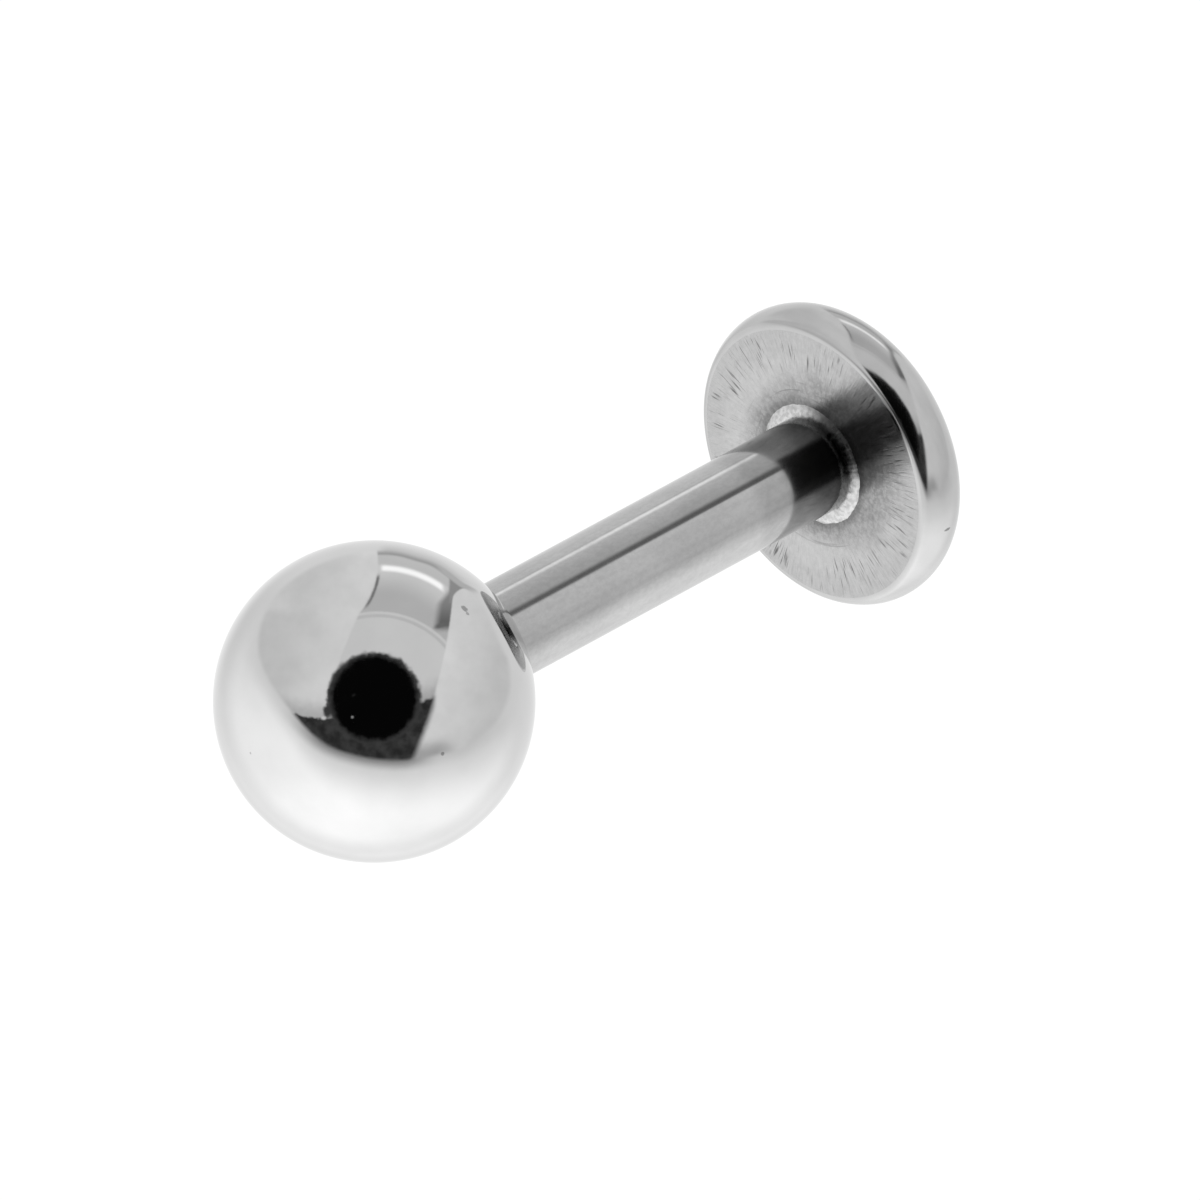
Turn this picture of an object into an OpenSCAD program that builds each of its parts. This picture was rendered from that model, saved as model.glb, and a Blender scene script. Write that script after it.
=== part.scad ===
// Labret stud: a steel post welded to a domed disc, with a ball that screws on its tip.
// The stud lies on its side, as it rests when it isn't worn. X runs along the post from
// the disc to the ball, Z = 0 is the surface, and the origin is under the stud's middle.

/* [Ball] */
// Diameter of the ball
ball_d = 5; // [4:0.1:8]
// Depth inside the ball at which the post's end seats
seat_depth = 0.5; // [0.4:0.05:0.8]
// Angle of the cone that the drill left at the end of the ball's hole
drill_angle = 118; // [90:1:140]

/* [Post] */
// Diameter of the post
post_d = 1.6; // [1.2:0.1:2.4]
// Length of the post, from the disc's face to the end that seats in the ball
post_len = 8; // [5:0.5:16]
// How much the post's radius narrows in the cone that seats in the ball
taper_w = 0.07; // [0.04:0.01:0.1]

/* [Thread] */
// Width of the shoulder that the cone's end leaves round the thread
shoulder_w = 0.03; // [0.02:0.01:0.05]
// Length of the thread
thread_len = 1.8; // [1.2:0.1:2.2]
// Distance from one turn of the thread to the next
thread_pitch = 0.3; // [0.2:0.05:0.4]
// Depth of the thread, from crest to root
thread_depth = 0.16; // [0.1:0.01:0.2]
// Length of the plain nose that leads the thread into the ball
nose_len = 0.2; // [0.1:0.05:0.4]

/* [Disc] */
// Diameter of the disc at its widest
disc_d = 5; // [4:0.1:8]
// Thickness of the disc, from its flat face to the top of its dome
disc_t = 1.5; // [1.3:0.05:2]
// Radius of the round along the disc's rim
rim_r = 0.65; // [0.6:0.01:0.7]
// Distance from the flat face back to the disc's widest line
rim_depth = 0.44; // [0.35:0.01:0.5]

/* [Weld] */
// Width of the weld bead on the disc's face, round the foot of the post
weld_w = 0.24; // [0.15:0.01:0.3]
// Height of the weld bead where it meets the post
weld_h = 0.06; // [0.04:0.01:0.12]

/* [Clearances] */
// Gap all round between the ball's hole and what goes into it
hole_gap = 0.03; // [0.02:0.005:0.05]
// Gap between the post's end and its seat in the ball
seat_gap = 0.02; // [0.01:0.005:0.04]
// Room left past the nose at the end of the ball's hole
nose_room = 0.2; // [0.1:0.05:0.3]

/* [Hidden] */

$fn = 96;
// How far one shape runs into the next, where the two are fused or one cuts the other
bite = 0.05;
// Sides of the thread's section, and steps in each of its turns
thread_sides = 18;
thread_steps = 12;

ball_r = ball_d / 2;
post_r = post_d / 2;
disc_r = disc_d / 2;
cone_end_r = post_r - taper_w;
thread_r = cone_end_r - shoulder_w;
root_r = thread_r - thread_depth;

// The dome is one large round that runs smoothly into the rim's round
rim_at_r = disc_r - rim_r;
dome_drop = disc_t - rim_depth;
dome_r = (rim_at_r ^ 2 + dome_drop ^ 2 - rim_r ^ 2) / (2 * (dome_drop - rim_r));
dome_at = dome_r - disc_t;

// The weld bead's section is the top of a round
bead_r = (weld_w ^ 2 + weld_h ^ 2) / (2 * weld_h);

// Along the post from the ball's centre: the ball's mouth, where the post starts to narrow,
// the seat, where it ends, and the end of the hole
mouth_at = -sqrt(ball_r ^ 2 - post_r ^ 2);
seat_at = seat_depth - ball_r;
// The cone's narrowing for each millimetre along it, on the post and in the ball alike
taper = taper_w / (seat_at - mouth_at);
bore_r = thread_r + hole_gap;
bore_end = seat_at + thread_len + nose_len + nose_room;
drill_h = bore_r / tan(drill_angle / 2);

// Where the pieces lie
ball_from_face = post_len - seat_at;
face_x = disc_t - (disc_t + ball_from_face + ball_r) / 2;
axis_z = max(ball_r, disc_r);
// Turn of every round shape about the axis, which keeps their seams off the line they lie on
seam_turn = 20;

// Puts a shape on the stud's axis, which its own Z axis follows, so far from the disc's face
module on_axis(from_face) {
    translate([face_x + from_face, 0, axis_z])
        rotate([0, 90, 0])
            rotate([0, 0, seam_turn])
                children();
}

// Half of the disc's section: the dome as far as the line through both centres, then the rim
module disc_section() {
    reach = 2 * disc_d;
    intersection() {
        union() {
            intersection() {
                translate([0, dome_at])
                    circle(dome_r);
                polygon([
                    [0, dome_at],
                    [0, -reach],
                    [rim_at_r * (reach + dome_at) / (dome_at + rim_depth), -reach],
                ]);
            }
            translate([rim_at_r, -rim_depth])
                circle(rim_r);
        }
        translate([0, -reach])
            square([reach, reach]);
    }
}

module disc() {
    rotate_extrude()
        disc_section();
}

module weld_bead() {
    rotate_extrude()
        intersection() {
            translate([post_r, weld_h - bead_r])
                circle(bead_r);
            translate([post_r - bite, -bite])
                square([weld_w + 2 * bite, weld_h + 2 * bite]);
        }
}

module post() {
    rotate_extrude()
        polygon([
            [0, -bite],
            [post_r, -bite],
            [post_r, ball_from_face + mouth_at],
            [cone_end_r, post_len],
            [0, post_len],
        ]);
}

// A round that stands off the axis and turns as it rises makes a thread with round crests
module thread() {
    rise = thread_len + bite;
    turns = rise / thread_pitch;
    translate([0, 0, post_len - bite])
        linear_extrude(rise, twist = -360 * turns, slices = ceil(turns * thread_steps), $fn = thread_sides)
            translate([thread_depth / 2, 0])
                circle((thread_r + root_r) / 2);
}

module nose() {
    translate([0, 0, post_len + thread_len - bite])
        cylinder(r1 = root_r - bite, r2 = root_r - bite - nose_len / 4, h = nose_len + bite);
}

// The post, thread, weld and disc are one piece of metal
module post_and_disc() {
    color("silver")
        on_axis(0) {
            disc();
            weld_bead();
            post();
            thread();
            nose();
        }
}

// What the ball's hole cuts away: the countersink, the bore for the thread and the drill's cone
module ball_hole() {
    outside = -ball_r - bite;
    countersunk = seat_at + seat_gap;
    mouth_r = post_r + hole_gap;
    rotate_extrude()
        polygon([
            [0, outside],
            [mouth_r + taper * (mouth_at - outside), outside],
            [mouth_r - taper * (countersunk - mouth_at), countersunk],
            [bore_r, countersunk],
            [bore_r, bore_end],
            [0, bore_end + drill_h],
        ]);
}

module ball() {
    color("gainsboro")
        on_axis(ball_from_face)
            difference() {
                sphere(r = ball_r);
                ball_hole();
            }
}

post_and_disc();
ball();
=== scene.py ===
# Labret stud: a steel post welded to a domed disc, with a ball that screws on its tip.
# It lies on its side, as it rests when it isn't worn. Lengths are in metres, and X runs
# along the post from the disc to the ball.
import math

import bpy
import numpy as np
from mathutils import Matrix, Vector


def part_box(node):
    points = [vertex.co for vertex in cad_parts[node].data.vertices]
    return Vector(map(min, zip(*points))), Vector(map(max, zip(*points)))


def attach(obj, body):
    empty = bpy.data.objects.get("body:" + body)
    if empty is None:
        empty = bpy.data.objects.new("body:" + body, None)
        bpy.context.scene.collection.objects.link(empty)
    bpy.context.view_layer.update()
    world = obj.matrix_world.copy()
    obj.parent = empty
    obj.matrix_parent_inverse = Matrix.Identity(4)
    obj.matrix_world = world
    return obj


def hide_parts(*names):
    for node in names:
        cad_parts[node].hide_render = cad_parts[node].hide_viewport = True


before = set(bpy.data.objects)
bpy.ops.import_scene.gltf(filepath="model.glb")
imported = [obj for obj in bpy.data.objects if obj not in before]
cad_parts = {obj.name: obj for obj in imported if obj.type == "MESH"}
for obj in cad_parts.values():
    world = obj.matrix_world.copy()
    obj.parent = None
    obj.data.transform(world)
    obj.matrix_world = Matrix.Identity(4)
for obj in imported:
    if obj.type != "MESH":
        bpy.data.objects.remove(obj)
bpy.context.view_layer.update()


# Disc: the stud's flat back, turned from surgical steel bar, with a rim and a low dome that are machine
# polished. Its inner face keeps the short strokes of an abrasive wheel that ran out from the post, and
# the weld's heat has darkened it round the post's foot. Painted shade darkens it further out on one
# side, and dims the highlight on the edge round next to the face.
mm = 0.001
disc_r = 2.5 * mm
disc_t = 1.5 * mm
rim_r = 0.65 * mm
rim_depth = 0.44 * mm
# The small round that breaks the edge between the rim and the flat face
edge_r = 0.17 * mm
# The face's rings stop at this radius, well inside the post's foot
face_inner_r = 0.4 * mm
disc_sides = 256
dome_steps = 48
rim_steps = 72
edge_steps = 16
face_rings = 24
# Two faces that meet at more than this stay a crisp edge
crisp_angle = math.radians(35)
# The rim has a small nick, at this turn about the axis from the stud's +Y
nick_turn = math.radians(-9.0)
nick_half_size = (0.06 * mm, 0.06 * mm, 0.025 * mm)

stud_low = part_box("post_and_disc")[0]
axis_z = disc_r
face_x = stud_low.x + disc_t
# The dome is one large round that runs smoothly into the rim's round
rim_at_r = disc_r - rim_r
dome_drop = disc_t - rim_depth
dome_r = (rim_at_r ** 2 + dome_drop ** 2 - rim_r ** 2) / (2 * (dome_drop - rim_r))
dome_end = math.atan2(rim_at_r, dome_r - disc_t + rim_depth)
edge_turn = math.acos((rim_depth - edge_r) / (rim_r - edge_r))
edge_at_r = rim_at_r + (rim_r - edge_r) * math.sin(edge_turn)
# The face's rings start a little inside the round's end
face_outer_r = edge_at_r - 0.2 * edge_r
rim_nick = (face_x - rim_depth, disc_r * math.cos(nick_turn), axis_z + disc_r * math.sin(nick_turn))


def arc(centre_x, centre_out, radius, start, end, steps):
    """Points of a round, as (x, distance from the axis), at angles from the stud's +X."""
    angles = np.linspace(start, end, steps + 1)
    return [(centre_x + radius * math.cos(a), centre_out + radius * math.sin(a)) for a in angles]


def turned(name, section, sides):
    """A closed piece turned about the stud's axis from a section that starts and ends on it."""
    inner = section[1:-1]
    turn = np.arange(sides) * 2 * math.pi / sides
    points = [(section[0][0], 0, axis_z)]
    for x, out in inner:
        points += [(x, out * math.cos(t), axis_z + out * math.sin(t)) for t in turn]
    points.append((section[-1][0], 0, axis_z))
    last = len(points) - 1
    last_ring = 1 + (len(inner) - 1) * sides
    faces = []
    for j in range(sides):
        k = (j + 1) % sides
        faces.append((0, 1 + k, 1 + j))
        for i in range(len(inner) - 1):
            near, far = 1 + i * sides, 1 + (i + 1) * sides
            faces.append((near + j, near + k, far + k, far + j))
        faces.append((last, last_ring + j, last_ring + k))
    mesh = bpy.data.meshes.new(name)
    mesh.from_pydata(points, [], faces)
    mesh.shade_smooth()
    mesh.set_sharp_from_angle(angle=crisp_angle)
    piece = bpy.data.objects.new(name, mesh)
    bpy.context.scene.collection.objects.link(piece)
    return piece


def add(tree, kind, inputs=(), **settings):
    """A new node with its settings made and its inputs set, or linked where they are sockets."""
    made = tree.nodes.new(kind)
    for key, value in settings.items():
        setattr(made, key, value)
    for key, value in dict(inputs).items():
        if isinstance(value, bpy.types.NodeSocket):
            tree.links.new(value, made.inputs[key])
        else:
            made.inputs[key].default_value = value
    return made


def calc(tree, operation, *values):
    """The result of one sum on numbers and sockets."""
    return add(tree, "ShaderNodeMath", enumerate(values), operation=operation).outputs[0]


def times(tree, *values):
    """The product of numbers and sockets."""
    product = values[0]
    for value in values[1:]:
        product = calc(tree, "MULTIPLY", product, value)
    return product


def fade(tree, value, low, high, at_low=0.0, at_high=1.0):
    """A soft step from at_low, where value is low, to at_high, where it is high."""
    inputs = {"Value": value, "From Min": low, "From Max": high, "To Min": at_low, "To Max": at_high}
    return add(tree, "ShaderNodeMapRange", inputs, interpolation_type="SMOOTHSTEP").outputs["Result"]


def fade_out(tree, value, low, high):
    """A soft step from 1, where value is low, to 0, where it is high."""
    return fade(tree, value, low, high, 1.0, 0.0)


def between(tree, value, start, full, last, end):
    """1 where value is from full to last, and 0 before start and after end, with soft steps."""
    return times(tree, fade(tree, value, start, full), fade_out(tree, value, last, end))


def over(tree, under, inside, top):
    """top where inside is 1, over what is under."""
    return add(tree, "ShaderNodeMix", {"Factor": inside, "A": under, "B": top}).outputs["Result"]


def less(tree, inside, loss):
    """1, and less than that by the loss where inside is 1."""
    return calc(tree, "MULTIPLY_ADD", inside, -loss, 1.0)


def object_place(tree):
    """The place on the piece, in metres."""
    return add(tree, "ShaderNodeTexCoord").outputs["Object"]


def place_along(tree):
    """The place on the piece along X, in metres."""
    return add(tree, "ShaderNodeSeparateXYZ", {0: object_place(tree)}).outputs["X"]


def away_from(tree, middle):
    """How far the place on the piece is from a point."""
    inputs = {0: object_place(tree), 1: middle}
    return add(tree, "ShaderNodeVectorMath", inputs, operation="DISTANCE").outputs["Value"]


def straight_out(tree):
    """The line from the stud's axis straight out to the place on the piece."""
    at = add(tree, "ShaderNodeSeparateXYZ", {0: object_place(tree)})
    up = calc(tree, "SUBTRACT", at.outputs["Z"], axis_z)
    return add(tree, "ShaderNodeCombineXYZ", {"Y": at.outputs["Y"], "Z": up}).outputs[0]


def distance_out(tree):
    """How far the place on the piece is from the stud's axis."""
    return add(tree, "ShaderNodeVectorMath", {0: straight_out(tree)}, operation="LENGTH").outputs["Value"]


def round_axis(tree, spread, rise):
    """Pattern space round the stud's axis: distance out times rise, and the way out times spread."""
    way = add(tree, "ShaderNodeVectorMath", {0: straight_out(tree)}, operation="NORMALIZE").outputs[0]
    way = add(tree, "ShaderNodeVectorMath", {0: way, "Scale": spread}, operation="SCALE").outputs[0]
    way = add(tree, "ShaderNodeSeparateXYZ", {0: way}).outputs
    inputs = {"X": times(tree, distance_out(tree), rise), "Y": way["Y"], "Z": way["Z"]}
    return add(tree, "ShaderNodeCombineXYZ", inputs).outputs[0]


def noise(tree, space, scale, detail=2.0, roughness=0.5):
    """A noise from 0 to 1 about 0.5."""
    inputs = {"Vector": space, "Scale": scale, "Detail": detail, "Roughness": roughness}
    return add(tree, "ShaderNodeTexNoise", inputs).outputs["Fac"]


def mottle(tree, scale, detail=2.0, roughness=0.5):
    """A noise on the piece itself, whose blots are about 1 / scale of a metre apart."""
    return noise(tree, object_place(tree), scale, detail, roughness)


def steel(name, colour, roughness, height, depth):
    """Bare steel: colour, roughness and height build their values in its tree, depth is the bumps'."""
    material = bpy.data.materials.new(name)
    material.use_nodes = True
    tree = material.node_tree
    shader = tree.nodes["Principled BSDF"]
    shader.inputs["Metallic"].default_value = 1.0
    tree.links.new(colour(tree), shader.inputs["Base Color"])
    tree.links.new(roughness(tree), shader.inputs["Roughness"])
    bump = add(tree, "ShaderNodeBump", {"Height": height(tree), "Distance": depth, "Strength": 1.0})
    tree.links.new(bump.outputs[0], shader.inputs["Normal"])
    return material


def nick(tree, middle, half_size):
    """1 in a ragged spot about a place on the piece, and 0 round it."""
    shape = {"Vector": object_place(tree), "Location": middle, "Scale": half_size}
    inner = add(tree, "ShaderNodeMapping", shape, vector_type="TEXTURE").outputs[0]
    gone = add(tree, "ShaderNodeVectorMath", {0: inner}, operation="LENGTH").outputs["Value"]
    ragged = calc(tree, "MULTIPLY_ADD", mottle(tree, 26000.0), 0.9, gone)
    return fade_out(tree, ragged, 1.2, 1.8)


def polish_colour(tree):
    smudge = fade(tree, mottle(tree, 1400.0, 4.0), 0.3, 0.7, 0.50, 0.54)
    # Painted shade darkens the edge round next to the face and dims its highlight
    edge_shade = fade(tree, place_along(tree), face_x - 0.04 * mm, face_x - 0.01 * mm, 1.0, 0.88)
    return times(tree, smudge, less(tree, nick(tree, rim_nick, nick_half_size), 0.6), edge_shade)


def polish_roughness(tree):
    return fade(tree, mottle(tree, 1500.0, 4.0), 0.35, 0.75, 0.10, 0.15)


def polish_height(tree):
    return mottle(tree, 9000.0, 1.0)


def bent(tree, space, reach):
    """The pattern space with its lines bent a little, by up to about reach / 4 across them."""
    sway = add(tree, "ShaderNodeTexNoise", {"Vector": space, "Scale": 0.35, "Detail": 1.0}).outputs["Color"]
    inputs = {0: sway, 1: (0.0, reach, reach), 2: space}
    return add(tree, "ShaderNodeVectorMath", inputs, operation="MULTIPLY_ADD").outputs[0]


def face_marks(tree):
    """Short strokes that run out from the post, between its heat ring and the face's edge."""
    space = bent(tree, round_axis(tree, 42.0, 1500.0), 7.0)
    cells = add(tree, "ShaderNodeTexVoronoi", {"Vector": space, "Scale": 1.0}).outputs["Distance"]
    stroke = fade_out(tree, cells, 0.10, 0.36)
    depth = fade(tree, mottle(tree, 1700.0, 1.0), 0.33, 0.62, 0.42, 0.86)
    ring = between(tree, distance_out(tree), 1.45 * mm, 1.8 * mm, 2.12 * mm, 2.25 * mm)
    return times(tree, stroke, depth, ring)


def face_scratches(tree):
    """The wheel's fine scratches, from 0 to 1, short and running out from the post."""
    return noise(tree, bent(tree, round_axis(tree, 75.0, 3600.0), 5.0), 1.0, 3.0, 0.6)


def face_heat_and_shade(tree):
    """1 at the weld's heat tint, and on one side where painted shade reaches further out; 0 from half way to
    the edge.
    """
    wander = calc(tree, "SUBTRACT", mottle(tree, 2600.0, 3.0), 0.5)
    out = calc(tree, "MULTIPLY_ADD", wander, 0.35 * mm, distance_out(tree))
    # On one side it reaches further out: there it is painted shade, not heat
    aside = away_from(tree, (face_x, 0.42 * mm, axis_z + 0.26 * mm))
    aside = calc(tree, "MULTIPLY_ADD", wander, 0.5 * mm, aside)
    return calc(tree, "MAXIMUM", fade_out(tree, out, 1.08 * mm, 1.55 * mm),
                fade_out(tree, aside, 1.0 * mm, 1.75 * mm))


def face_colour(tree):
    out = distance_out(tree)
    # The weld's heat tint, and painted shade on one side, darken the face round the post
    soot_and_shade = fade(tree, mottle(tree, 15000.0, 4.0, 0.6), 0.35, 0.65, 0.52, 0.76)
    tint = over(tree, 1.06, face_heat_and_shade(tree), soot_and_shade)
    by_weld = fade(tree, out, 1.03 * mm, 1.18 * mm, 0.68, 1.0)
    by_edge = fade(tree, out, 1.75 * mm, 2.0 * mm, 1.0, 0.93)
    # The last strokes round the weld ran round it
    rings = fade(tree, noise(tree, round_axis(tree, 1.3, 16000.0), 1.0, 1.0), 0.62, 0.70, 1.0, 0.72)
    rings = over(tree, 1.0, between(tree, out, 1.1 * mm, 1.15 * mm, 1.35 * mm, 1.5 * mm), rings)
    grain = fade(tree, mottle(tree, 11000.0, 4.0, 0.6), 0.3, 0.7, 0.94, 1.04)
    lines = fade(tree, face_scratches(tree), 0.3, 0.7, 0.95, 1.06)
    marks = less(tree, face_marks(tree), 0.84)
    return times(tree, 0.42, tint, by_weld, by_edge, rings, grain, lines, marks)


def face_roughness(tree):
    return fade(tree, noise(tree, round_axis(tree, 20.0, 3000.0), 1.0, 3.0), 0.3, 0.7, 0.13, 0.21)


def face_height(tree):
    return calc(tree, "MULTIPLY_ADD", face_marks(tree), -1.2, face_scratches(tree))


polished = steel("polished_rim", polish_colour, polish_roughness, polish_height, 1.0e-7)
faced = steel("faced_steel", face_colour, face_roughness, face_height, 0.75e-6)
# The scratches scatter a little of the light
faced.node_tree.nodes["Principled BSDF"].inputs["Metallic"].default_value = 0.94

section = [(face_x - disc_t, 0.0)]
section += arc(face_x - disc_t + dome_r, 0.0, dome_r, math.pi, math.pi - dome_end, dome_steps)[1:]
section += arc(face_x - rim_depth, rim_at_r, rim_r, math.pi - dome_end, edge_turn, rim_steps)[1:]
section += arc(face_x - edge_r, edge_at_r, edge_r, edge_turn, 0.0, edge_steps)[1:]
section += [(face_x, out) for out in np.linspace(face_outer_r, face_inner_r, face_rings)]
section.append((face_x, 0.0))
disc = turned("disc", section, disc_sides)
disc.data.materials.append(polished)
disc.data.materials.append(faced)
for side in disc.data.polygons:
    side.material_index = int(side.normal.x > 0.999)
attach(disc, "stud")
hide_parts("post_and_disc")


# Post: a straight round bar of the same steel, drawn and polished. Its foot is sunk in the disc's face
# and welded there, and its other end narrows in a cone that seats in the ball.
post_r = 0.8 * mm
post_len = 8.0 * mm
seat_depth = 0.5 * mm
taper_w = 0.07 * mm
foot_depth = 0.05 * mm
post_sides = 192
post_rings = 24
# A ring this close by on either side keeps the bend into the cone, and the cone's end, crisp
ring_gap = 0.01 * mm

ball_r = 2.5 * mm
ball_x = face_x + post_len - seat_depth + ball_r
mouth_x = ball_x - math.sqrt(ball_r ** 2 - post_r ** 2)
cone_end_r = post_r - taper_w
post_end_x = face_x + post_len
# The cone's narrowing for each metre along it
taper = taper_w / (post_end_x - mouth_x)


def drawn_mottle(tree, along, across, detail=3.0, roughness=0.5):
    """A noise drawn out along a bar, whose blots are about 1 / along and 1 / across of a metre apart."""
    inputs = {0: object_place(tree), 1: (along, across, across)}
    space = add(tree, "ShaderNodeVectorMath", inputs, operation="MULTIPLY").outputs[0]
    return noise(tree, space, 1.0, detail, roughness)


def bar_colour(tree):
    smudge = fade(tree, drawn_mottle(tree, 700.0, 1400.0), 0.35, 0.7, 0.45, 0.49)
    grain = fade(tree, drawn_mottle(tree, 9000.0, 14000.0, 3.0, 0.6), 0.3, 0.7, 0.95, 1.04)
    # Heat tint and painted shade darken the foot, and a faint tint ends further on, where the bar was
    # clamped
    along = place_along(tree)
    wander = calc(tree, "SUBTRACT", mottle(tree, 2200.0, 3.0), 0.5)
    uneven = calc(tree, "MULTIPLY_ADD", wander, 0.5 * mm, along)
    foot_heat_and_shade = fade(tree, uneven, face_x + 0.3 * mm, face_x + 1.45 * mm, 0.46, 1.0)
    uneven = calc(tree, "MULTIPLY_ADD", wander, 0.15 * mm, along)
    tint = fade(tree, uneven, face_x + 1.75 * mm, face_x + 2.15 * mm, 0.82, 1.0)
    return times(tree, smudge, grain, foot_heat_and_shade, tint)


def bar_roughness(tree):
    return fade(tree, drawn_mottle(tree, 500.0, 2500.0), 0.35, 0.75, 0.08, 0.13)


def bar_height(tree):
    return drawn_mottle(tree, 300.0, 14000.0, 2.0)


drawn = steel("drawn_bar", bar_colour, bar_roughness, bar_height, 1.0e-7)

section = [(face_x - foot_depth, 0.0), (face_x - foot_depth, post_r)]
section += [(x, post_r) for x in np.linspace(face_x, mouth_x, post_rings)]
section.insert(-1, (mouth_x - ring_gap, post_r))
section.append((mouth_x + ring_gap, post_r - ring_gap * taper))
section += [(post_end_x - ring_gap, cone_end_r), (post_end_x, cone_end_r - ring_gap)]
section.append((post_end_x, 0.0))
post = turned("post", section, post_sides)
post.data.materials.append(drawn)
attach(post, "stud")


# Weld bead: the low ring of melted steel that fixes the post's foot to the disc. It cooled uneven and
# grainy, and was left as it was. Painted shade darkens it on one side.
weld_w = 0.21 * mm
weld_h = 0.06 * mm
# How much the bead's width and height wander in all, as a share of them
weld_wander = 0.3
# Steps round the post, and round the bead's own section
bead_steps = 360
bead_section_steps = 32
# Points nearer than this to each other are one
same_place = 1.0e-8


def new_tree(name, sizes):
    """An empty Geometry Nodes tree with its inputs named, and the sockets that give them."""
    tree = bpy.data.node_groups.new(name, "GeometryNodeTree")
    face = tree.interface
    face.new_socket("Geometry", in_out="OUTPUT", socket_type="NodeSocketGeometry")
    for size in sizes:
        face.new_socket(size, in_out="INPUT", socket_type="NodeSocketFloat")
    face.new_socket("Material", in_out="INPUT", socket_type="NodeSocketMaterial")
    return tree, tree.nodes.new("NodeGroupInput").outputs


def unit_grid(tree, steps_x, steps_y):
    """A grid 1 wide and 1 high about 0, and the X and Y of each of its points."""
    inputs = {"Size X": 1.0, "Size Y": 1.0, "Vertices X": steps_x + 1, "Vertices Y": steps_y + 1}
    grid = add(tree, "GeometryNodeMeshGrid", inputs).outputs["Mesh"]
    spot = add(tree, "ShaderNodeSeparateXYZ", {0: add(tree, "GeometryNodeInputPosition").outputs[0]})
    return grid, spot.outputs["X"], spot.outputs["Y"]


def on_axis(tree, along, out, turn_cos, turn_sin, axis_height):
    """The place so far along the stud and so far out from its axis, at a turn about it."""
    inputs = {
        "X": along,
        "Y": times(tree, out, turn_cos),
        "Z": calc(tree, "MULTIPLY_ADD", out, turn_sin, axis_height),
    }
    return add(tree, "ShaderNodeCombineXYZ", inputs).outputs[0]


def end_tree(tree, grid, place, material, turn_out=False):
    """Puts the grid's points in place, closes its seams, and gives it its material."""
    moved = add(tree, "GeometryNodeSetPosition", {"Geometry": grid, "Position": place})
    closed = add(tree, "GeometryNodeMergeByDistance", {"Geometry": moved.outputs[0], "Distance": same_place})
    if turn_out:
        closed = add(tree, "GeometryNodeFlipFaces", {"Mesh": closed.outputs[0]})
    smooth = add(tree, "GeometryNodeSetShadeSmooth", {"Geometry": closed.outputs[0]})
    real = add(tree, "GeometryNodeRealizeInstances", {"Geometry": smooth.outputs[0]})
    done = add(tree, "GeometryNodeSetMaterial", {"Geometry": real.outputs[0], "Material": material})
    tree.links.new(done.outputs[0], tree.nodes.new("NodeGroupOutput").inputs[0])


def bead_tree():
    """Geometry Nodes: a ring about the stud's axis whose width and height wander."""
    tree, given = new_tree("weld bead", ("Post radius", "Width", "Height", "Face", "Axis height", "Wander"))
    grid, spot_x, spot_y = unit_grid(tree, bead_steps, bead_section_steps)
    turn = times(tree, spot_x, 2 * math.pi)
    lap = times(tree, spot_y, 2 * math.pi)
    turn_cos = calc(tree, "COSINE", turn)
    turn_sin = calc(tree, "SINE", turn)
    lap_cos = calc(tree, "COSINE", lap)
    lap_sin = calc(tree, "SINE", lap)
    swell = calc(tree, "ABSOLUTE", lap_sin)

    around = add(tree, "ShaderNodeCombineXYZ", {"X": turn_cos, "Y": turn_sin}).outputs[0]
    bulge = calc(tree, "SUBTRACT", noise(tree, around, 5.0, 3.0), 0.5)
    sway = calc(tree, "MULTIPLY_ADD", bulge, given["Wander"], 1.0)
    skin = add(tree, "ShaderNodeCombineXYZ", {"X": turn_cos, "Y": turn_sin, "Z": lap_cos}).outputs[0]
    grain = calc(tree, "SUBTRACT", noise(tree, skin, 7.0, 2.0), 0.5)
    grain = times(tree, grain, 0.6, given["Height"], swell)

    reach = times(tree, lap_cos, given["Width"])
    rise = times(tree, lap_sin, swell, given["Height"])
    out = calc(tree, "MULTIPLY_ADD", reach, sway, given["Post radius"])
    along = calc(tree, "ADD", calc(tree, "MULTIPLY_ADD", rise, sway, given["Face"]), grain)
    place = on_axis(tree, along, out, turn_cos, turn_sin, given["Axis height"])
    end_tree(tree, grid, place, given["Material"])
    return tree


def grown(name, tree, **values):
    """A plain mesh piece from a tree, with its named inputs set."""
    seed = bpy.data.objects.new(name, bpy.data.meshes.new(name))
    bpy.context.scene.collection.objects.link(seed)
    grow = seed.modifiers.new(name, "NODES")
    grow.node_group = tree
    for socket in tree.interface.items_tree:
        if socket.in_out == "INPUT":
            grow[socket.identifier] = values[socket.name.replace(" ", "_").lower()]
    depsgraph = bpy.context.evaluated_depsgraph_get()
    mesh = bpy.data.meshes.new_from_object(seed.evaluated_get(depsgraph))
    seed.modifiers.clear()
    seed.data = mesh
    mesh.name = name
    return seed


def bead_colour(tree):
    grain = fade(tree, mottle(tree, 13000.0, 3.0), 0.35, 0.65, 0.42, 0.58)
    # Painted shade darkens it on one side
    from_shaded_side = away_from(tree, (face_x, 0.60 * mm, axis_z + 0.67 * mm))
    return times(tree, grain, fade(tree, from_shaded_side, 0.32 * mm, 0.93 * mm, 0.13, 1.0))


def bead_roughness(tree):
    return fade(tree, mottle(tree, 9000.0), 0.35, 0.7, 0.24, 0.38)


def bead_height(tree):
    return mottle(tree, 11000.0)


melted = steel("melted_steel", bead_colour, bead_roughness, bead_height, 1.3e-6)
bead = grown("weld_bead", bead_tree(), post_radius=post_r, width=weld_w, height=weld_h, face=face_x,
             axis_height=axis_z, wander=weld_wander, material=melted)
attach(bead, "stud")


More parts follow.
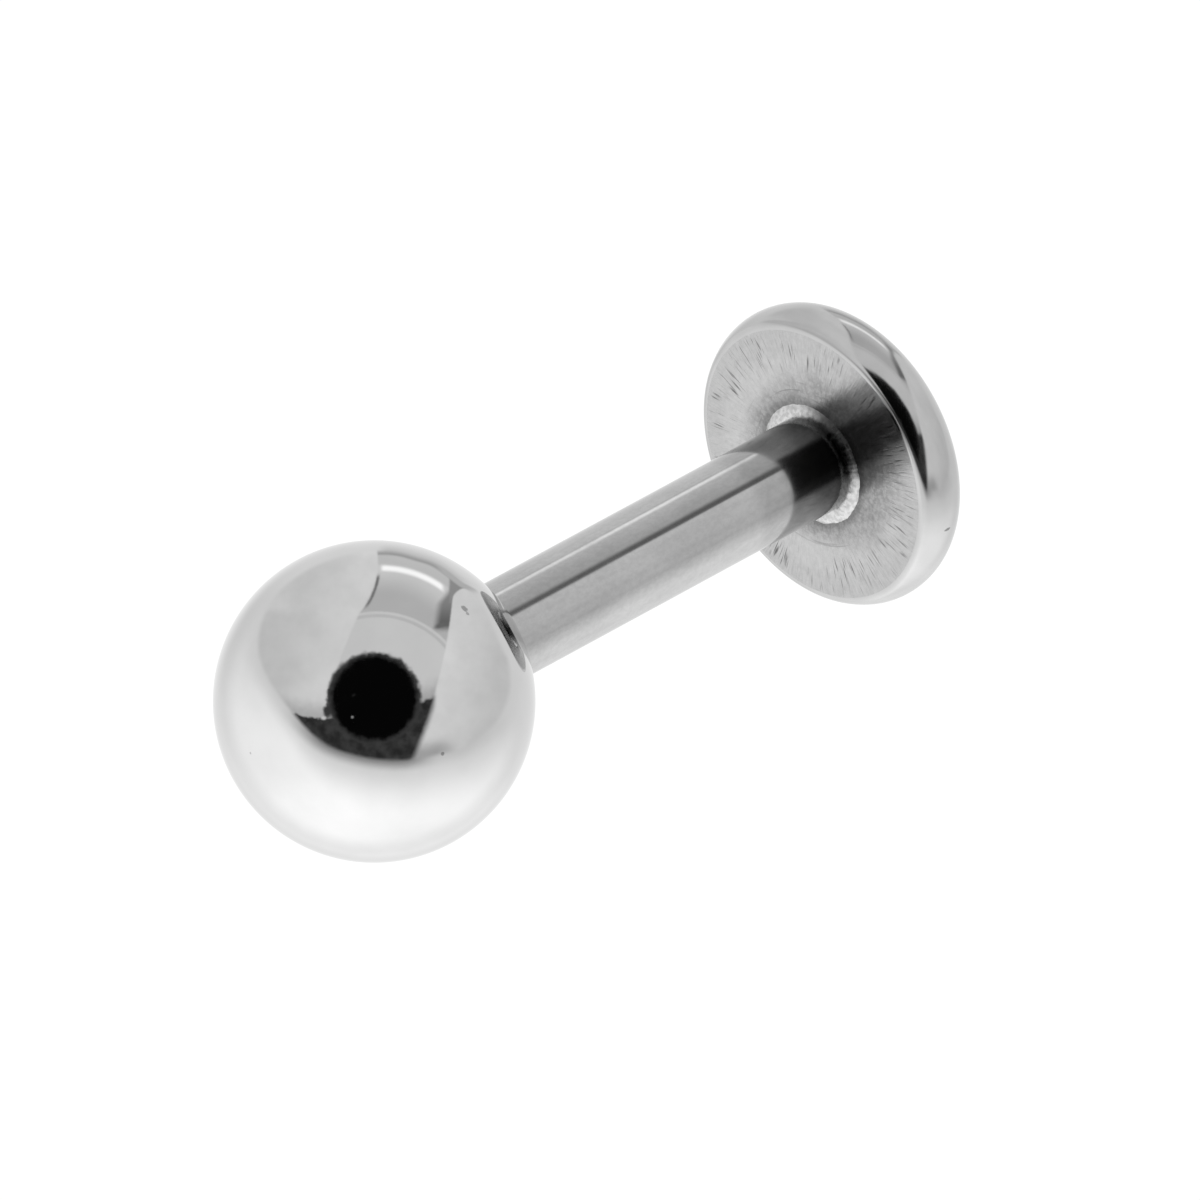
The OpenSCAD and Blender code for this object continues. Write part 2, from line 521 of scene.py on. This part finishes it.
# Thread: the right-hand thread cut on the post's tip, with rounded crests, and the plain nose that leads
# it into the ball. It is brighter on its crests and darker in its roots.
thread_len = 1.8 * mm
thread_pitch = 0.3 * mm
thread_depth = 0.16 * mm
shoulder_w = 0.03 * mm
nose_len = 0.2 * mm
# The nose is this much thinner all round than the thread's root
nose_drop = 0.05 * mm
# The thread starts this far inside the post's end
thread_bite = 0.05 * mm
thread_steps = 180
thread_sides = 96

thread_r = cone_end_r - shoulder_w
root_r = thread_r - thread_depth
nose_r = root_r - nose_drop


def thread_tree():
    """Geometry Nodes: a bar whose radius follows a thread that turns as it goes along the axis."""
    sizes = ("Start", "Length", "Pitch", "Crest radius", "Root radius", "Nose radius", "Nose length",
             "Axis height")
    tree, given = new_tree("thread", sizes)
    grid, spot_x, spot_y = unit_grid(tree, thread_steps, thread_sides)
    share = calc(tree, "ADD", spot_x, 0.5)
    turn = times(tree, spot_y, 2 * math.pi)
    along = times(tree, share, calc(tree, "ADD", given["Length"], given["Nose length"]))

    # The thread's height at this turn and place, which dies away over the last turn
    phase = calc(tree, "SUBTRACT", calc(tree, "DIVIDE", along, given["Pitch"]), spot_y)
    saw = calc(tree, "ABSOLUTE", calc(tree, "SUBTRACT", calc(tree, "FRACT", phase), 0.5))
    crest = fade(tree, saw, 0.08, 0.42)
    past_end = calc(tree, "SUBTRACT", along, given["Length"])
    ending = fade_out(tree, past_end, times(tree, given["Pitch"], -0.8), 0.0)
    height = calc(tree, "SUBTRACT", given["Crest radius"], given["Root radius"])
    nose_at = times(tree, given["Nose length"], 0.3)
    core = fade(tree, past_end, 0.0, nose_at, given["Root radius"], given["Nose radius"])
    out = calc(tree, "ADD", core, times(tree, height, crest, ending))

    # The first and last ring close on the axis
    first = calc(tree, "GREATER_THAN", share, 0.001)
    last = calc(tree, "LESS_THAN", share, 0.999)
    out = times(tree, out, first, last)
    start = calc(tree, "ADD", along, given["Start"])
    turn_cos = calc(tree, "COSINE", turn)
    turn_sin = calc(tree, "SINE", turn)
    place = on_axis(tree, start, out, turn_cos, turn_sin, given["Axis height"])
    end_tree(tree, grid, place, given["Material"], turn_out=True)
    return tree


def cut_colour(tree):
    return fade(tree, distance_out(tree), root_r, thread_r, 0.26, 0.5)


threaded = steel("cut_thread", cut_colour, bar_roughness, bar_height, 2.0e-7)
thread = grown("thread", thread_tree(), start=post_end_x - thread_bite, length=thread_len + thread_bite,
               pitch=thread_pitch, crest_radius=thread_r, root_radius=root_r, nose_radius=nose_r,
               nose_length=nose_len, axis_height=axis_z, material=threaded)
thread.data.set_sharp_from_angle(angle=crisp_angle)
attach(thread, "stud")


# Ball: a steel ball, tumbled and buffed to a mirror, drilled and tapped from one side. It screws onto
# the post's thread until the post's cone seats in the countersink.
hole_gap = 0.03 * mm
seat_gap = 0.02 * mm
nose_room = 0.2 * mm
drill_angle = math.radians(118)
tap_depth = 0.09 * mm
# Rings to each of the tap's turns, and the length left plain at both ends of the bore
tap_steps = 8
plain_len = 0.01 * mm
ball_sides = 288
ball_rings = 144

bore_r = thread_r + hole_gap
bore_end_x = post_end_x + thread_len + nose_len + nose_room
drill_end_x = bore_end_x + bore_r / math.tan(drill_angle / 2)
seat_x = post_end_x + seat_gap
mouth_r = post_r + hole_gap
mouth_turn = math.pi - math.asin(mouth_r / ball_r)
bore_rings = round((bore_end_x - seat_x) / thread_pitch * tap_steps)


def on_ball(degrees_round, degrees_up):
    """A place on the ball, turned so far from the stud's +X and then raised."""
    turn, rise = math.radians(degrees_round), math.radians(degrees_up)
    way = Vector((math.cos(turn) * math.cos(rise), math.sin(turn) * math.cos(rise), math.sin(rise)))
    return tuple(Vector((ball_x, 0.0, axis_z)) + ball_r * way)


# Small nicks from handling: the place, half the size, and how much of the light is lost
ball_nicks = (
    (on_ball(111.5, 52.9), 0.055 * mm, 0.50),
    (on_ball(110.0, 50.9), 0.030 * mm, 0.40),
    (on_ball(68.6, 8.7), 0.030 * mm, 0.50),
    (on_ball(-6.6, 0.7), 0.020 * mm, 0.30),
)


def mirror_colour(tree):
    colour = fade(tree, mottle(tree, 1100.0, 4.0), 0.3, 0.7, 0.605, 0.635)
    for place, half_size, loss in ball_nicks:
        colour = times(tree, colour, less(tree, nick(tree, place, (half_size,) * 3), loss))
    return colour


def mirror_roughness(tree):
    return fade(tree, mottle(tree, 2500.0, 4.0), 0.4, 0.75, 0.03, 0.07)


def mirror_height(tree):
    return mottle(tree, 12000.0, 1.0)


mirror = steel("mirror_ball", mirror_colour, mirror_roughness, mirror_height, 1.2e-7)

section = [(drill_end_x, 0.0)]
section += [(x, bore_r) for x in np.linspace(bore_end_x, seat_x, bore_rings)]
section += [(seat_x, mouth_r - taper * (seat_x - mouth_x))]
section += arc(ball_x, 0.0, ball_r, mouth_turn, 0.0, ball_rings)
section[-1] = (ball_x + ball_r, 0.0)
ball = turned("ball_shell", section, ball_sides)
# The tap left its grooves all the way down the hole, in step with the thread that they hold
for point in ball.data.vertices:
    x, y, z = point.co.x, point.co.y, point.co.z - axis_z
    on_bore = abs(math.hypot(y, z) - bore_r) < 0.001 * mm
    if on_bore and seat_x + plain_len < x < bore_end_x - plain_len:
        turns_in = (x - post_end_x) / thread_pitch - math.atan2(z, y) / (2 * math.pi)
        groove = 0.5 + 0.5 * math.cos(2 * math.pi * turns_in)
        wider = 1 + tap_depth * groove / bore_r
        point.co.y = y * wider
        point.co.z = axis_z + z * wider
ball.data.materials.append(mirror)
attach(ball, "ball")
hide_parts("ball")


# Floor: a sheet of white acrylic that lies flat on a light table. It is lit evenly from below, so it is
# plain and pale, and no shadow shows on it.
floor_w = 4.0
floor_glow = 1.05

half = floor_w / 2
corners = [(-half, -half, 0), (half, -half, 0), (half, half, 0), (-half, half, 0)]
mesh = bpy.data.meshes.new("floor")
mesh.from_pydata(corners, [], [(0, 1, 2, 3)])
floor = bpy.data.objects.new("floor", mesh)
bpy.context.scene.collection.objects.link(floor)
acrylic = bpy.data.materials.new("white_acrylic")
acrylic.use_nodes = True
shader = acrylic.node_tree.nodes["Principled BSDF"]
shader.inputs["Base Color"].default_value = (0.0, 0.0, 0.0, 1.0)
shader.inputs["Roughness"].default_value = 0.9
shader.inputs["Specular IOR Level"].default_value = 0.0
shader.inputs["Emission Color"].default_value = (1.0, 1.0, 1.0, 1.0)
shader.inputs["Emission Strength"].default_value = floor_glow
mesh.materials.append(acrylic)
# What the steel mirrors below the horizon is the tent's own white floor, which the studio light holds
floor.visible_glossy = False


# Camera: a long lens 0.6 m away, which looks down along the stud from beside the ball. The ball's
# middle is at its own place in the picture, and the picture's scale is given at the ball.
azimuth = math.radians(133.0)
elevation = math.radians(30.4)
camera_distance = 0.6
photo_px = 1200
ball_at_px = (374.2, 701.5)
px_per_metre = 64580.0
sensor_w = 36.0

back = Vector((
    math.sin(azimuth) * math.cos(elevation),
    -math.cos(azimuth) * math.cos(elevation),
    math.sin(elevation),
))
right = Vector((math.cos(azimuth), math.sin(azimuth), 0.0))
up = back.cross(right)
ball_right = (ball_at_px[0] - photo_px / 2) / px_per_metre
ball_up = (photo_px / 2 - ball_at_px[1]) / px_per_metre
ball_middle = Vector((ball_x, 0.0, axis_z))

lens = bpy.data.cameras.new("camera")
lens.sensor_width = sensor_w
lens.lens = sensor_w * camera_distance * px_per_metre / photo_px
lens.clip_start = 0.1
lens.clip_end = 5.0
camera = bpy.data.objects.new("camera", lens)
camera.location = ball_middle + camera_distance * back - ball_right * right - ball_up * up
camera.rotation_mode = "QUATERNION"
camera.rotation_quaternion = (-back).to_track_quat("-Z", "Y")
bpy.context.scene.collection.objects.link(camera)
bpy.context.scene.camera = camera
bpy.context.scene.view_settings.view_transform = "Standard"


# Studio light: a white tent round the stud, lit softly from outside, with a slit in its front for the
# lens. The light comes from far off, so a direction alone says what is there. Each thing is placed where
# the lens sees it mirrored in the ball: (0, 0) is the ball's middle, and its outline is 1 away.
ball_mirrors = 0.62
# Steel mirrors more at a slant, so the light is dimmed by these close to the ball's outline, and at it
near_outline = 0.93
at_outline = 0.83


def seen(grey):
    """The light that the ball shows as this grey, out of 255, when it mirrors its share of it."""
    return ((grey / 255 + 0.055) / 1.055) ** 2.4 / ball_mirrors


def past(tree, spot, start, through, end):
    """How far a spot is to the right of the curved way from start to end through a third point."""
    (x1, y1), (x2, y2), (x3, y3) = start, through, end
    turn = (x2 - x1) * (y3 - y1) - (y2 - y1) * (x3 - x1)
    a, b, c = x1 ** 2 + y1 ** 2, x2 ** 2 + y2 ** 2, x3 ** 2 + y3 ** 2
    centre_x = (a * (y2 - y3) + b * (y3 - y1) + c * (y1 - y2)) / (2 * turn)
    centre_y = (a * (x3 - x2) + b * (x1 - x3) + c * (x2 - x1)) / (2 * turn)
    radius = math.hypot(x1 - centre_x, y1 - centre_y)
    gone = add(tree, "ShaderNodeVectorMath", {0: spot, 1: (centre_x, centre_y, 0.0)}, operation="DISTANCE")
    side = math.copysign(1.0, turn)
    return calc(tree, "MULTIPLY_ADD", gone.outputs["Value"], side, -side * radius)


def blot(tree, spot, middle, wide, high, tilt, soft):
    """1 inside an ellipse of half sizes wide and high, turned by tilt degrees, and 0 outside."""
    inputs = {"Vector": spot, "Location": (*middle, 0.0), "Rotation": (0.0, 0.0, math.radians(tilt)),
              "Scale": (wide, high, 1.0)}
    inner = add(tree, "ShaderNodeMapping", inputs, vector_type="TEXTURE").outputs[0]
    gone = add(tree, "ShaderNodeVectorMath", {0: inner}, operation="LENGTH").outputs["Value"]
    return fade_out(tree, gone, 1 - soft, 1 + soft)


def line(tree, value, middle, half_width, soft_half_width):
    """1 where value is within half_width of the middle, and 0 beyond soft_half_width."""
    off = calc(tree, "ABSOLUTE", calc(tree, "SUBTRACT", value, middle))
    return fade_out(tree, off, half_width, soft_half_width)


def reach_share(tree, spot, middle, reaches):
    """How far out a spot is, where 1 is an outline given by its reach from the middle at some degrees."""
    off = add(tree, "ShaderNodeVectorMath", {0: spot, 1: (*middle, 0.0)}, operation="SUBTRACT").outputs[0]
    off_at = add(tree, "ShaderNodeSeparateXYZ", {0: off})
    turn = calc(tree, "ARCTAN2", off_at.outputs["Y"], off_at.outputs["X"])
    share = calc(tree, "FRACT", calc(tree, "DIVIDE", turn, 2 * math.pi))
    curve = add(tree, "ShaderNodeFloatCurve", {"Value": share})
    points = curve.mapping.curves[0].points
    points[0].location = (0.0, reaches[0][1])
    points[1].location = (1.0, reaches[0][1])
    for degrees, reach in reaches[1:]:
        points.new(degrees / 360, reach)
    curve.mapping.update()
    gone = add(tree, "ShaderNodeVectorMath", {0: off}, operation="LENGTH").outputs["Value"]
    return calc(tree, "DIVIDE", gone, curve.outputs[0])


world = bpy.data.worlds.new("tent")
bpy.context.scene.world = world
world.use_nodes = True
tree = world.node_tree
way = add(tree, "ShaderNodeTexCoord").outputs["Generated"]
across, upward, toward = (
    add(tree, "ShaderNodeVectorMath", {0: way, 1: tuple(axis)}, operation="DOT_PRODUCT").outputs["Value"]
    for axis in (right, up, back)
)
# The ball mirrors each way at the spot where it faces half way between that way and the lens
behind = calc(tree, "MAXIMUM", calc(tree, "MULTIPLY_ADD", toward, 2.0, 2.0), 1e-6)
shrink = calc(tree, "INVERSE_SQRT", behind)
spot_x = times(tree, across, shrink)
spot_y = times(tree, upward, shrink)
spot = add(tree, "ShaderNodeCombineXYZ", {"X": spot_x, "Y": spot_y}).outputs[0]
from_middle = add(tree, "ShaderNodeVectorMath", {0: spot}, operation="LENGTH").outputs["Value"]

# The tent's back and floor, brightest on the floor behind the stud
light = fade(tree, spot_y, -0.3, 0.5, seen(232), seen(205.5))
light = over(tree, light, blot(tree, spot, (0.29, -0.435), 0.95, 0.285, 23.0, 0.98), seen(256))
rim = fade(tree, spot_y, -1.0, 0.9, near_outline * seen(231), near_outline * seen(190))
light = over(tree, light, fade(tree, from_middle, 0.84, 0.95), rim)
light = over(tree, light, fade(tree, from_middle, 0.945, 0.995), at_outline * seen(222))

# The tent's front hangs down to the floor, which is greyer close to it
front_reaches = (
    (0, 0.775), (10, 0.725), (23, 0.700), (34, 0.712), (39, 0.695), (44, 0.672), (52, 0.665),
    (62, 0.665), (72, 0.655), (82, 0.658), (95, 0.660), (115, 0.680), (133, 0.72), (150, 0.762),
    (170, 0.775), (190, 0.716), (201, 0.672), (213, 0.645), (236, 0.635), (260, 0.622), (285, 0.65),
    (300, 0.69), (310, 0.74), (322, 0.78), (334, 0.815), (344, 0.815), (352, 0.8),
)
front_share = reach_share(tree, spot, (0.05, 0.27), front_reaches)
front = fade_out(tree, front_share, 0.975, 1.025)
near_front = fade(tree, spot_x, -0.7, 0.0, 1.19, 1.63)
light = over(tree, light, fade_out(tree, front_share, 0.98, near_front), seen(199))
hem = times(tree, fade_out(tree, front_share, 0.99, 1.13), fade_out(tree, spot_y, -0.3, 0.0),
            fade(tree, spot_x, 0.18, 0.42, 1.0, 0.2))
light = over(tree, light, hem, seen(122))
brow = times(tree, fade(tree, front_share, 1.0, 1.08, 0.55, 0.0), fade(tree, spot_y, 0.70, 0.78),
             fade(tree, spot_x, 0.0, 0.08))
light = over(tree, light, brow, seen(160))

# Inside the front: its left half, and its right half, which is greyer down by its hem
folds = fade(tree, noise(tree, spot, 5.0, 4.0, 0.55), 0.3, 0.7, 0.955, 1.04)
left_edge_low = past(tree, spot, (-0.088, 0.549), (-0.235, 0.19), (-0.315, -0.08))
left_edge_high = past(tree, spot, (0.013, 0.93), (0.018, 0.80), (-0.088, 0.549))
left_edge = fade(tree, spot_y, 0.5, 0.6, left_edge_low, left_edge_high)
left_half = times(tree, fade(tree, left_edge, 0.0, 0.45, seen(202), seen(185)), folds)
right_edge = past(tree, spot, (0.22, -0.36), (0.405, 0.16), (0.487, 0.66))
right_low = times(tree, fade(tree, front_share, 0.80, 0.97, 0.0, 0.42), fade_out(tree, spot_y, -0.28, -0.12),
                  fade_out(tree, spot_x, 0.38, 0.56))
right_half = times(tree, fade(tree, right_edge, 0.0, 0.4, seen(202), seen(186)), folds)
right_half = times(tree, right_half, less(tree, right_low, 1.0))

# The slit between the halves, with its grey ceiling, one bright strip in it, and a fold on either side
strip = past(tree, spot, (0.04, 0.826), (0.22, 0.802), (0.44, 0.692))
ceiling = fade(tree, strip, 0.0, 0.17, seen(196), seen(171))
ceiling = over(tree, ceiling, fade_out(tree, strip, -0.035, -0.01), seen(182))
tube = times(tree, line(tree, strip, 0.0, 0.003, 0.028), between(tree, spot_x, 0.03, 0.06, 0.405, 0.445))
ceiling = over(tree, ceiling, tube, seen(247))
ceiling_end = past(tree, spot, (-0.10, 0.545), (0.10, 0.553), (0.36, 0.45))
slit = over(tree, ceiling, fade(tree, ceiling_end, -0.008, 0.008), seen(192))
slit = over(tree, slit, line(tree, ceiling_end, 0.026, 0.004, 0.016), seen(178))
slit = over(tree, slit, fade(tree, front_share, 0.955, 0.985), seen(146))
fold_starts = fade(tree, spot_y, 0.59, 0.71, -0.112, -0.05)
right_fold = fade(tree, right_edge, fold_starts, calc(tree, "ADD", fold_starts, 0.06))
right_fold = times(tree, right_fold, between(tree, spot_y, 0.42, 0.48, 0.66, 0.75))
slit = over(tree, slit, right_fold, fade(tree, spot_y, 0.47, 0.64, seen(92), seen(126)))
slit = over(tree, slit, blot(tree, spot, (0.413, 0.472), 0.038, 0.014, 20.0, 0.6), seen(98))
left_fold = times(tree, fade(tree, left_edge, -0.026, -0.010), between(tree, spot_y, 0.56, 0.62, 0.76, 0.80))
slit = over(tree, slit, left_fold, seen(105))
inner = over(tree, slit, fade(tree, left_edge, -0.008, 0.008), left_half)

# Under the lens a dark cloth shows through the slit, and the lens itself is black
frayed = add(tree, "ShaderNodeTexNoise", {"Vector": spot, "Scale": 26.0, "Detail": 2.0}).outputs["Color"]
frayed = add(tree, "ShaderNodeVectorMath", {0: frayed, 1: (0.5, 0.5, 0.5)}, operation="SUBTRACT").outputs[0]
inputs = {0: frayed, 1: (0.04, 0.04, 0.0), 2: spot}
frayed = add(tree, "ShaderNodeVectorMath", inputs, operation="MULTIPLY_ADD").outputs[0]
cloth_top = past(tree, frayed, (-0.50, -0.075), (-0.32, -0.10), (0.37, 0.03))
weave = fade(tree, noise(tree, spot, 15.0, 3.0), 0.3, 0.7, seen(36), seen(58))
inner = times(tree, inner, fade(tree, cloth_top, -0.13, 0.0, 1.0, 0.66))
inner = over(tree, inner, fade(tree, cloth_top, -0.012, 0.012), weave)
inner = over(tree, inner, blot(tree, frayed, (-0.286, -0.052), 0.025, 0.045, 0.0, 0.3), seen(50))
inner = over(tree, inner, blot(tree, frayed, (0.001, 0.022), 0.292, 0.284, 0.0, 0.05), seen(54))
inner = over(tree, inner, blot(tree, frayed, (0.004, 0.020), 0.264, 0.262, 0.0, 0.08), seen(4))

# The right half hangs in front of the cloth. Its top corner is rounded, and it is dark behind it
right_soft = fade(tree, spot_y, -0.05, 0.10, 0.045, 0.008)
inner = over(tree, inner, fade(tree, right_edge, -0.008, right_soft), right_half)
corner_edge = past(tree, spot, (0.472, 0.60), (0.502, 0.672), (0.585, 0.708))
corner = times(tree, fade_out(tree, corner_edge, -0.008, 0.008), fade(tree, spot_y, 0.60, 0.62),
               between(tree, spot_x, 0.455, 0.475, 0.57, 0.60))
inner = over(tree, inner, corner, seen(136))
# Specks on the lens and beside it: the place, half sizes, tilt and grey
specks = (
    ((-0.132, -0.095), 0.008, 0.008, 0.0, 120),
    ((-0.124, 0.040), 0.012, 0.007, 30.0, 28),
    ((-0.310, -0.100), 0.016, 0.012, 0.0, 190),
)
for middle, wide, high, tilt, grey in specks:
    inner = over(tree, inner, blot(tree, spot, middle, wide, high, tilt, 0.5), seen(grey))
light = over(tree, light, front, inner)
# The front's stitched top edge runs on over the right half
top_edge = times(tree, line(tree, front_share, 0.99, 0.01, 0.035), fade(tree, spot_x, 0.36, 0.44),
                 fade(tree, spot_y, 0.66, 0.71))
light = over(tree, light, top_edge, seen(168))

# The lens itself sees nothing of the tent, only the same white as the floor
plain = add(tree, "ShaderNodeLightPath").outputs["Is Camera Ray"]
light = over(tree, light, plain, floor_glow)
tree.links.new(light, tree.nodes["Background"].inputs["Color"])
